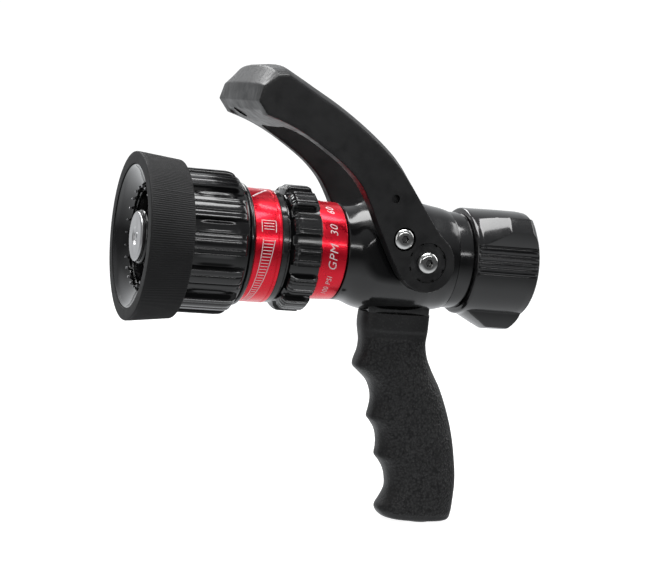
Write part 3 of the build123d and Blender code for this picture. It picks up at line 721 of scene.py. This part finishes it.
def make_grip_pad():
    """Flat pad cast under the body, which the grip is bolted to."""
    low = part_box("valve_body")[0].z / MM
    x0, x1, half, corner, edge = -97.8, -58.6, 10.8, 3.0, 0.5
    vertices = []
    for z, step in ((PAD_TOP_Z, 0.0), (low + edge, 0.0), (low + edge * 0.3, edge * 0.3), (low, edge)):
        for cx, cy, start in ((x1 - corner, half - corner, 0), (x0 + corner, half - corner, 90),
                              (x0 + corner, corner - half, 180), (x1 - corner, corner - half, 270)):
            vertices += [(x, y, z) for x, y in arc_points((cx, cy), corner - step, start, start + 90, 8)]
    faces = band_faces(4, 32, closed=False)
    faces += [tuple(range(32)), tuple(reversed(range(96, 128)))]
    place(make_mesh("grip_pad", vertices, faces, GLOSS, 40), ROOT, "black_anodised")


def make_collar():
    x1 = span("rear_adapter")[1]
    outline = [(-60, 24.0), (-60, 26.9), (-51.3, 26.9), (-51.3, 29.0, 0.6), (-42.0, 29.0, 0.6), (-42.0, 25.5),
               (-33.5, 25.5, 0.1), (-33.0, 24.1, 0.3), (-30.0, 24.1, 0.3), (-29.5, 25.5, 0.1), (x1, 25.5),
               (x1, 17.5), (-49, 17.5), (-49, 24.0)]
    return place(lathe("rear_collar", outline, GLOSS, 0.3), ROOT, "black_anodised", "rear_adapter")


def make_stop_ring():
    x0, x1, outer = span("stop_ring")
    outline = [(x0, 31.05), (x0, outer - 1.2, 0.5), (x0 + 0.9, outer, 0.9), (x1 - 1.4, outer - 0.3, 0.9),
               (x1, outer - 1.9, 0.5), (x1, 31.05)]
    return place(lathe("stop_ring_turned", outline, GLOSS, 0.4), ROOT, "black_anodised", "stop_ring")


# ---- coupling -----------------------------------------------------------------------
ROCKER_ANGLES = (40, 160, 280)
FLUTE_TOP_ANGLE, FLUTE_PITCH, FLUTE_COUNT = 20, 7.0, 5
FLUTE_HALF, FLUTE_DEPTH = 2.9, 1.0      # degrees, millimetres
THREAD_PITCH = 25.4 / 9


def rocker_height(x, around, core, crest):
    """Height over the core of one rocker lug, ramped at the front and cut steeply at the mouth."""
    ramp = np.clip((x + 37.0) / 15.0, 0, 1)
    tail = np.clip((-1.5 - x) / 6.0, 0, 1) ** 0.6
    shoulder = np.clip((10.0 - np.abs(around)) / 5.8, 0, 1)
    return (crest - core) * np.minimum(np.minimum(ramp, tail), shoulder)


def make_coupling():
    """Swivel coupling: turned shell with three rocker lugs and a patch of flutes on one side."""
    x0, x1, _ = span("swivel_coupling")
    crest, core = 39.8, 32.1
    angles = np.arange(0, 360, 0.5)
    flutes = np.zeros_like(angles)
    for i in range(FLUTE_COUNT):
        away = (angles - (FLUTE_TOP_ANGLE - FLUTE_PITCH * i) + 180) % 360 - 180
        flutes = np.maximum(flutes, np.clip(1 - (away / FLUTE_HALF) ** 2, 0, 1))
    rows = [(x0, 25.9), (x0, 31.0), (x0 + 0.3, 31.6), (x0 + 0.9, 32.0)]
    for x in np.concatenate([np.linspace(x0 + 1.6, -9.0, 40), np.linspace(-8.6, -1.0, 26)]):
        swell = 0.35 * smooth_step((x + 40) / 25)
        radii = np.full_like(angles, core + swell - 0.5 * smooth_step((x + 6) / 6))
        lift = np.zeros_like(angles)
        for angle in ROCKER_ANGLES:
            away = (angles - angle + 180) % 360 - 180
            lift = np.maximum(lift, rocker_height(x, away * core * math.pi / 180, core, crest))
        cut = FLUTE_DEPTH * flutes * smooth_step((x - x0 - 1.2) / 0.8)
        rows.append((x, radii + lift - cut * (lift < 0.05)))
    rows += [(-0.4, 31.3), (x1, 30.7), (x1, 25.35), (-18.0, 25.35), (-18.0, 26.3), (-22.2, 26.3),
             (-22.2, 25.9), (-29.6, 25.9), (-30.2, 27.2), (-32.8, 27.2), (-33.4, 25.9)]
    piece = ring_piece("swivel_shell", rows, angles, GLOSS, 30)
    place(piece, SWIVEL, "black_anodised", "swivel_coupling")
    make_thread()


def make_thread():
    """Helical ridge of the hose thread inside the coupling's mouth."""
    turns, steps = 5.6, 96
    half = THREAD_PITCH / 2
    vertices, faces = [], []
    total = int(turns * steps)
    for i in range(total + 1):
        turn = 2 * math.pi * i / steps
        centre = -16.8 + THREAD_PITCH * i / steps
        fade = min(1.0, i / 24, (total - i) / 24)
        crest = 25.3 - 1.1 * fade
        for dx, r in ((-half * 0.92, 25.45), (-half * 0.16, crest), (half * 0.16, crest),
                      (half * 0.92, 25.45)):
            vertices.append((centre + dx, -r * math.cos(turn), r * math.sin(turn)))
    for i in range(total):
        a, b = 4 * i, 4 * (i + 1)
        faces += [(a + k, a + (k + 1) % 4, b + (k + 1) % 4, b + k) for k in range(4)]
    faces += [(0, 1, 2, 3), tuple(4 * total + k for k in (3, 2, 1, 0))]
    return place(make_mesh("hose_thread", vertices, faces, GLOSS, 50), SWIVEL, "black_anodised")


# ---- handle -------------------------------------------------------------------------
def arc_points(centre, radius, start, end, count):
    """Points of an arc in the XZ plane; angles in degrees from +X towards +Z."""
    turns = [math.radians(start + (end - start) * i / (count - 1)) for i in range(count)]
    return [(centre[0] + radius * math.cos(t), centre[1] + radius * math.sin(t)) for t in turns]


def curve_points(points, steps=5):
    """Catmull-Rom curve through the points, which keeps the first and the last."""
    padded = [points[0]] + list(points) + [points[-1]]
    result = []
    for i in range(1, len(padded) - 2):
        p0, p1, p2, p3 = (np.array(p, float) for p in padded[i - 1:i + 3])
        for s in range(steps):
            t = s / steps
            point = 0.5 * (2 * p1 + (p2 - p0) * t + (2 * p0 - 5 * p1 + 4 * p2 - p3) * t ** 2
                           + (3 * p1 - p0 - 3 * p2 + p3) * t ** 3)
            result.append(tuple(point))
    return result + [tuple(points[-1])]


def handle_outline():
    """Side view of the handle: (X, Z) points, clockwise from the tip's upper front facet."""
    top = curve_points([(-170.6, 102.0), (-152.5, 92.7), (-136.7, 84.3), (-120.4, 74.0), (-105.8, 63.0),
                        (-97.4, 54.8), (-91.3, 46.4), (-85.5, 37.6), (-77.5, 27.0), (-70.3, 18.0),
                        (-64.5, 12.8)])
    end = arc_points((PIVOT_X, 0), 17.6, 38, -126, 20)
    under = curve_points([(-92.6, -8.9), (-97.7, -1.0), (-104.2, 10.4), (-109.8, 20.5), (-115.6, 31.4),
                          (-122.5, 41.6),
                          (-131.8, 50.4), (-143.0, 58.0), (-155.5, 65.2), (-168.0, 70.9), (-181.7, 75.2)])
    return [(-186.0, 92.2), (-178.3, 101.0)] + top + end + under + [(-187.6, 83.0)]


def edge_share(x, z):
    """How much of the full edge slope the handle has here: less at its hub and front facets."""
    away = math.hypot(x - PIVOT_X, z)
    return (0.22 + 0.78 * smooth_step((away - 34) / 32)) * (1 - 0.6 * smooth_step((-181.5 - x) / 4))


def inset(outline, depth):
    """Outline moved inwards by depth, less where the handle's edges are sharper."""
    points = [Vector(p) for p in outline]
    area = sum(a.x * b.y - b.x * a.y for a, b in zip(points, points[1:] + points[:1]))
    turn = 1 if area > 0 else -1
    result = []
    for i, point in enumerate(points):
        before = (point - points[i - 1]).normalized()
        after = (points[(i + 1) % len(points)] - point).normalized()
        normal = (Vector((-before.y, before.x)) + Vector((-after.y, after.x))) * turn
        normal.normalize()
        lean = max(0.5, normal.dot(Vector((-after.y, after.x)) * turn))
        share = edge_share(*point) * (1 - UNDER_SHARE * smooth_step(normal.y * 4))
        result.append(tuple(point + normal * depth * share / lean))
    return result


def rounded_prism(name, outline, half, edges):
    """Prism across the middle plane whose outer edges step in by (depth, inset) pairs."""
    layers = [(-half + depth, step) for depth, step in edges]
    layers += [(half - depth, step) for depth, step in reversed(edges)]
    vertices = [(x, y, z) for y, step in layers for x, z in inset(outline, step)]
    return make_mesh(name, vertices, prism_faces(len(layers), len(outline)), SATIN)


def extrude_y(name, outline, y0, y1):
    """Prism of an XZ outline between two y values."""
    vertices = [(x, y, z) for y in (y0, y1) for x, z in outline]
    return make_mesh(name, vertices, prism_faces(2, len(outline)), SATIN)


def apply_modifiers(piece):
    """Bake a piece's modifiers into its mesh."""
    bpy.context.view_layer.update()
    depsgraph = bpy.context.evaluated_depsgraph_get()
    mesh = bpy.data.meshes.new_from_object(piece.evaluated_get(depsgraph))
    piece.modifiers.clear()
    piece.data = mesh


def cut(piece, cutter):
    """Take the cutter's volume out of the piece."""
    modifier = piece.modifiers.new("cut", "BOOLEAN")
    modifier.operation = "DIFFERENCE"
    modifier.solver = "EXACT"
    modifier.object = cutter
    apply_modifiers(piece)
    bpy.data.objects.remove(cutter)


def rounded_gap(x0, x1, half, corner, z0, z1):
    """Tall block with its two front corners rounded, which opens the space between the arms."""
    outline = [(x1, -half), (x1, half)]
    for cx, cy, start in ((x0 + corner, half - corner, 90), (x0 + corner, corner - half, 180)):
        for i in range(9):
            turn = math.radians(start + 90 * i / 8)
            outline.append((cx + corner * math.cos(turn), cy + corner * math.sin(turn)))
    vertices = [(x, y, z) for z in (z0, z1) for x, y in outline]
    return make_mesh("gap", vertices, prism_faces(2, len(outline)), SATIN)


def round_cutter(x, z, y0, y1, radius, segments=48):
    """Cylinder along Y."""
    outline = arc_points((x, z), radius, 0, 360 - 360 / segments, segments)
    return extrude_y("hole", outline, y0, y1)


# Layers of the handle from each side face inwards: depth, and inset of the outline there.
HANDLE_EDGES = ((0.0, 3.0), (2.5, 1.6), (5.0, 0.5), (9.0, -0.6), (15.0, -1.5), (22.0, -2.2), (30.0, -2.7),
                (39.9, -2.9))
UNDER_SHARE = 0.88      # how much of that slope the under edges lack
ARM_THICKNESS = 9.0
HUB_HOLE_R, SCREW_SEAT_R, WELL_R = 11.75, 6.85, 4.65
PIN_HOLE = (-100.2, 35.3, 2.5)          # x, z and radius of the small blind hole in each arm
UNDERCUT = ((-185.3, 78.76), (-175.3, 73.08))


def make_handle():
    """Bail handle: two curved arms joined by an eight-sided crossbar."""
    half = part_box("bail_handle")[1].y / MM
    inner = half - ARM_THICKNESS
    piece = rounded_prism("bail_handle_smooth", handle_outline(), half, HANDLE_EDGES)
    (x0, z0), (x1, z1) = UNDERCUT
    cut(piece, extrude_y("undercut", [(x0, z0), (x1, z1), (x1, 66), (x0 - 4, 66), (x0 - 4, z0 + 2.27)],
                         -inner, inner))
    cut(piece, rounded_gap(-165.0, -20.0, inner, 12.0, -40.0, 130.0))
    remesh = piece.modifiers.new("even", "REMESH")
    remesh.mode = "VOXEL"
    remesh.voxel_size = 0.56 * MM
    soften = piece.modifiers.new("soften", "SMOOTH")
    soften.factor = 0.5
    soften.iterations = 4
    apply_modifiers(piece)
    cut(piece, round_cutter(PIVOT_X, 0, -50, 50, HUB_HOLE_R, 64))
    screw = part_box("handle_screws")
    x, z = (screw[0].x + screw[1].x) / 2 / MM, (screw[0].z + screw[1].z) / 2 / MM
    for side in (-1, 1):
        y0, y1 = sorted((side * 37.2, side * 44))
        cut(piece, round_cutter(x, z, y0, y1, SCREW_SEAT_R))
        cut(piece, round_cutter(*PIN_HOLE[:2], y0, y1, PIN_HOLE[2], 24))
    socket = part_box("crossbar_screw")
    middle = (socket[0] + socket[1]) / 2 / MM
    well = round_cutter(0, 0, -7, 12, WELL_R)
    inwards = Vector((z0 - z1, 0, x1 - x0)).normalized()
    well.matrix_world = Matrix.Translation(middle * MM) @ Vector((0, -1, 0)).rotation_difference(
        inwards).to_matrix().to_4x4()
    cut(piece, well)
    piece.data.shade_smooth()
    piece.data.set_sharp_from_angle(angle=math.radians(35))
    piece.data.materials.append(SHADED_UNDERSIDE)
    # Faces looking down and to the front take the shaded copy of the satin coat: painted shade under the arms and
    # crossbar.
    for face in piece.data.polygons:
        if face.normal.x < -0.2 and face.normal.z < -0.15 and -150 < face.center.x / MM < -90:
            face.material_index = 1
    return place(piece, HANDLE, "black_powder_coat", "bail_handle")


# ---- grip ---------------------------------------------------------------------------
BOTTOM_LIFT = 1.2       # raises the foot, fading out upwards


def make_grip():
    """Pistol grip: stacked rounded sections between a grooved front and a curved back."""
    low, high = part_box("pistol_grip")
    top, bottom, half = high.z / MM, low.z / MM, high.y / MM
    front = [(top, -99.5), (-40, -99.8), (-45, -99.3), (-52, -97.9), (-58, -98.3), (-63.5, -100.0),
             (-67.5, -100.2), (-70.5, -97.0), (-75.5, -91.3), (-81, -88.2), (-87, -86.9), (-93, -87.4),
             (-97.8, -88.2), (-101, -85.6), (-105.5, -82.4), (-111, -80.8), (-116.5, -80.4), (-121.2, -80.6),
             (-124.8, -77.6), (-129.5, -74.4), (-135.5, -72.4), (-142, -71.9), (-148, -74.3), (-153.2, -77.0),
             (-156.8, -75.8), (-159.2, -73.0), (bottom, -70.0)]
    rear = [(top, -56.3), (-45, -56.4), (-52, -56.8), (-60.3, -54.8), (-68.5, -50.4), (-78.7, -44.1),
            (-93.6, -37.4), (-107.6, -32.8), (-121.9, -29.6), (-135.2, -27.9), (-150, -28.0), (-156.4, -28.6),
            (-159.2, -29.6), (bottom, -31.4)]
    side = [(top, 13.2), (-44, 13.2), (-46, 12.6), (-60, 13.0), (-90, 13.8), (-120, half), (-150, half),
            (-157, 13.6), (-159.4, 12.8), (bottom, 12.0)]
    heights = np.concatenate([np.linspace(top, -154, 120), np.linspace(-154.5, bottom, 14)])
    count = 96
    turn = np.arange(count) * 2 * math.pi / count
    curves = [smooth_profile(points, heights) for points in (front, rear, side)]
    vertices, textured = [], []
    for z, x_front, x_rear, wide in zip(heights, *curves):
        centre, deep = (x_front + x_rear) / 2, (x_rear - x_front) / 2
        square = 2.9 - 0.4 * smooth_step((-60 - z) / 20)
        cos, sin = np.cos(turn), np.sin(turn)
        px = centre + deep * np.sign(cos) * np.abs(cos) ** (2 / square)
        py = wide * np.sign(sin) * np.abs(sin) ** (2 / square)
        raised = z + BOTTOM_LIFT * smooth_step((-110 - z) / 50)
        vertices += [(x, y, raised) for x, y in zip(px, py)]
        panel = smooth_step((-48.5 - z) / 2.5) * smooth_step((z - bottom - 2.5) / 2)
        textured += (panel * (0.25 + 0.75 * smooth_step((np.abs(py) / wide - 0.55) / 0.25))).tolist()
    faces = band_faces(len(heights), count, closed=False)
    faces += [tuple(range(count)), tuple(reversed(range(len(vertices) - count, len(vertices))))]
    piece = make_mesh("moulded_grip", vertices, faces, GRIP, 50)
    values = piece.data.attributes.new("textured", "FLOAT", "POINT")
    values.data.foreach_set("value", textured)
    return place(piece, ROOT, "grip_plastic", "pistol_grip")


def smooth_profile(points, heights):
    """Smooth curve of value against height, sampled at the given heights."""
    fine = curve_points(points, 8)
    fine.sort()
    return np.interp(heights, [p[0] for p in fine], [p[1] for p in fine])


# ---- CAD nodes that keep their shape ------------------------------------------------
def finish_cad_nodes():
    """Give every carried-over node its procedural material."""
    slots = {s["node"]: s["material_slot"] for s in frame["record"]["subparts"]}
    for name, node in frame["nodes"].items():
        node.data.materials.clear()
        node.data.materials.append(SATIN if name == "handle_hubs" else CAD_MATERIALS[slots[name]])


# ---- studio -------------------------------------------------------------------------
CAMERA_AT = Vector((-0.4884, -0.9955, 0.0718))
CAMERA_AIM = Vector((-0.1229, 0.0, -0.0258))
CAMERA_ROLL = math.radians(5.72)
FOCAL_WIDTHS = 1800 / 650
SKY_LEVEL, SKY_BELOW, SKY_ABOVE, SKY_BEHIND = 0.08, 0.75, 0.4, 0.7


LIGHT_AIM = (-0.12, 0, 0)
LIGHTS = (
    ("overhead", (-0.2, -0.12, 1.15), 1.1, 0.75, 24),
    ("left_card", (-1.3, -0.75, 0.25), 0.5, 0.9, 1.6),
    ("high_strip", (0.12, -1.4, 0.48), 1.2, 0.1, 3.2),
    ("right_rim", (1.0, 0.1, 0.6), 0.6, 0.9, 6),
    ("far_rim", (-0.45, 1.0, 0.9), 0.8, 0.4, 9),
)


def make_floor():
    """Pale floor that curves up into a backdrop."""
    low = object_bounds()[0][2]
    profile = [(-12.0, 0.0), (1.6, 0.0)] + [(1.6 + 1.2 * math.sin(t), 1.2 - 1.2 * math.cos(t)) for t in
                                          np.linspace(0.1, math.pi / 2, 14)] + [(2.8, 5.0)]
    vertices = [(x, y, low + z) for y, z in profile for x in (-12.0, 12.0)]
    faces = [(2 * i, 2 * i + 1, 2 * i + 3, 2 * i + 2) for i in range(len(profile) - 1)]
    mesh = bpy.data.meshes.new("floor")
    mesh.from_pydata(vertices, [], faces)
    mesh.shade_smooth()
    mesh.materials.append(floor_material())
    floor = bpy.data.objects.new("floor", mesh)
    floor.visible_glossy = False
    floor.visible_diffuse = False
    bpy.context.scene.collection.objects.link(floor)


def area_light(name, location, size, size_y, power):
    """Soft box aimed at the middle of the nozzle; sizes in metres, power in watts."""
    light = bpy.data.lights.new(name, "AREA")
    light.shape = "RECTANGLE"
    light.size = size
    light.size_y = size_y
    light.energy = power
    holder = bpy.data.objects.new(name, light)
    holder.location = location
    holder.rotation_euler = (Vector(LIGHT_AIM) - Vector(location)).to_track_quat("-Z", "Y").to_euler()
    bpy.context.scene.collection.objects.link(holder)


def make_surroundings():
    """World that is dim at eye level and brighter below, above and behind, like a white sweep."""
    world = bpy.data.worlds.new("studio")
    world.use_nodes = True
    nodes, links = world.node_tree.nodes, world.node_tree.links
    split = nodes.new("ShaderNodeSeparateXYZ")
    links.new(nodes.new("ShaderNodeTexCoord").outputs["Generated"], split.inputs[0])
    below = remap(nodes, links, split.outputs["Z"], -0.1, -0.75, 0, SKY_BELOW)
    above = remap(nodes, links, split.outputs["Z"], 0.15, 0.8, SKY_LEVEL, SKY_ABOVE)
    behind = remap(nodes, links, split.outputs["Y"], 0.35, 0.95, 0, SKY_BEHIND)
    total = below
    for share in (above, behind):
        total = combine(nodes, links, "ADD", total, share)
    background = nodes["Background"]
    background.inputs["Color"].default_value = (0.96, 0.98, 1.0, 1)
    links.new(total, background.inputs["Strength"])
    bpy.context.scene.world = world


def make_lights():
    """Soft boxes for the long highlights on the round parts."""
    for light in LIGHTS:
        area_light(*light)


def make_camera():
    data = bpy.data.cameras.new("camera")
    data.sensor_width = 36
    data.lens = 36 * FOCAL_WIDTHS
    camera = bpy.data.objects.new("camera", data)
    view = CAMERA_AIM - CAMERA_AT
    turn = view.to_track_quat("-Z", "Y") @ Quaternion((0, 0, 1), CAMERA_ROLL)
    camera.matrix_world = Matrix.Translation(CAMERA_AT) @ turn.to_matrix().to_4x4()
    bpy.context.scene.collection.objects.link(camera)
    bpy.context.scene.camera = camera
    bpy.context.scene.view_settings.view_transform = "Standard"


finish_cad_nodes()
make_bumper()
make_bell()
make_teeth()
make_baffle()
make_sleeve()
make_selector()
make_bands()
make_pattern_marks()
make_flow_marks()
make_valve_body()
make_collar()
make_stop_ring()
make_coupling()
make_handle()
make_grip()
make_floor()
make_surroundings()
make_lights()
make_camera()
